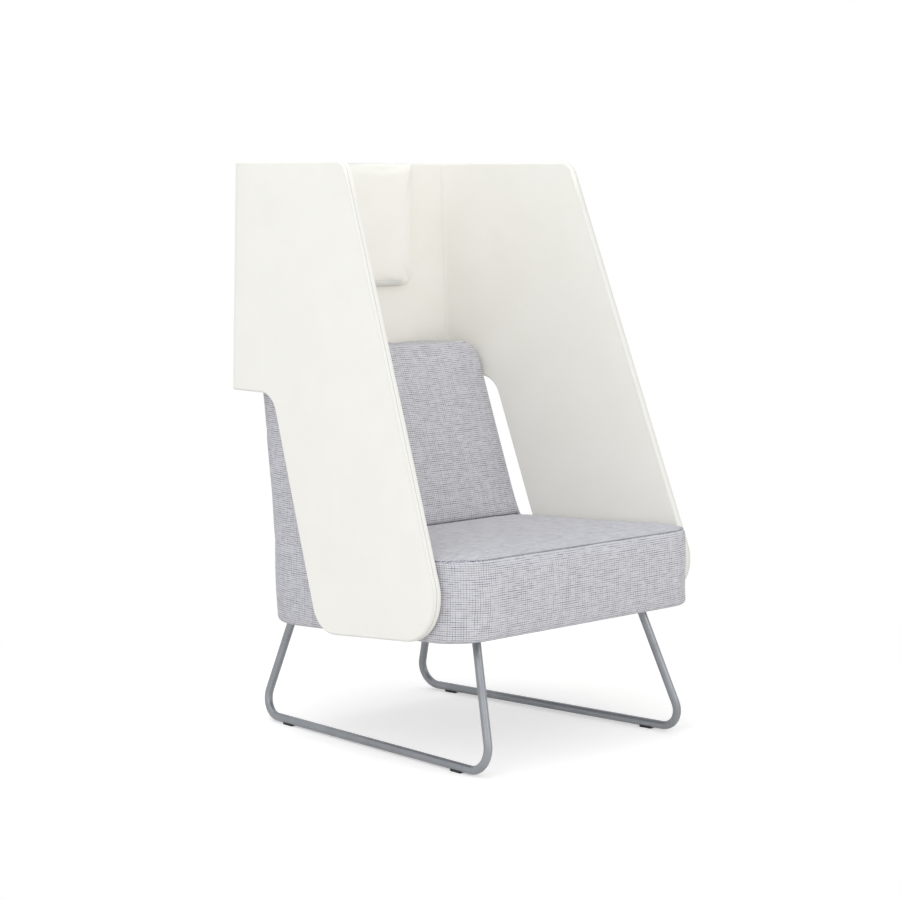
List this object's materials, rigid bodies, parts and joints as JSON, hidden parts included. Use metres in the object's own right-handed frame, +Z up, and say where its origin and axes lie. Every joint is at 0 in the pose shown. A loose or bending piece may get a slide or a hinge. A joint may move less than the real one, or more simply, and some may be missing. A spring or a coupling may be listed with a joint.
{
  "type": "acoustic high back lounge chair",
  "caption": "Upholstered lounge chair with high side wings and a rear screen panel, a headrest pad and a bent tube sled base.",
  "frame": {"origin": "on the floor, under the middle of the chair's bounding box", "axes": "+Z up, the front of the chair faces -Y, +X is the right of a person who faces the chair's front"},
  "size_m": [0.8268, 0.8055, 1.296],
  "materials": {
    "cream_fabric": "fine plain wool cloth in warm white",
    "grey_fabric": "heathered crosshatch weave in light grey",
    "painted_tube": "satin silver grey powder coat",
    "zinc_steel": "bright zinc plated",
    "plywood": "bare birch plywood and beech",
    "foam": "soft open cell foam",
    "webbing": "black elastic webbing and dust cloth",
    "glide_plastic": "moulded black nylon"
  },
  "bodies": {
    "root": {"left_sled_loop": "painted_tube", "right_sled_loop": "painted_tube", "left_front_mount_plate": "painted_tube", "left_rear_mount_plate": "painted_tube", "right_front_mount_plate": "painted_tube", "right_rear_mount_plate": "painted_tube", "base_bolts": "zinc_steel", "base_inserts": "zinc_steel", "floor_glides": "glide_plastic", "left_seat_rail": "plywood", "right_seat_rail": "plywood", "front_seat_rail": "plywood", "rear_seat_rail": "plywood", "corner_blocks": "plywood", "seat_frame_screws": "zinc_steel", "left_back_post": "plywood", "right_back_post": "plywood", "back_top_rail": "plywood", "back_middle_rail": "plywood", "back_bottom_rail": "plywood", "back_frame_screws": "zinc_steel", "seat_long_straps": "webbing", "seat_cross_straps": "webbing", "back_straps": "webbing", "seat_foam": "foam", "front_foam": "foam", "back_foam": "foam", "seat_cover": "grey_fabric", "back_cover": "grey_fabric", "dust_cover": "webbing", "left_wing_board": "plywood", "right_wing_board": "plywood", "rear_board": "plywood", "corner_brackets": "zinc_steel", "bracket_screws": "zinc_steel", "left_wing_cover": "cream_fabric", "right_wing_cover": "cream_fabric", "rear_panel_cover": "cream_fabric", "screen_spacers": "zinc_steel", "screen_bolts": "zinc_steel", "screen_inserts": "zinc_steel", "headrest_board": "plywood", "headrest_pad": "cream_fabric", "headrest_clips": "zinc_steel"}
  },
  "joints": []
}
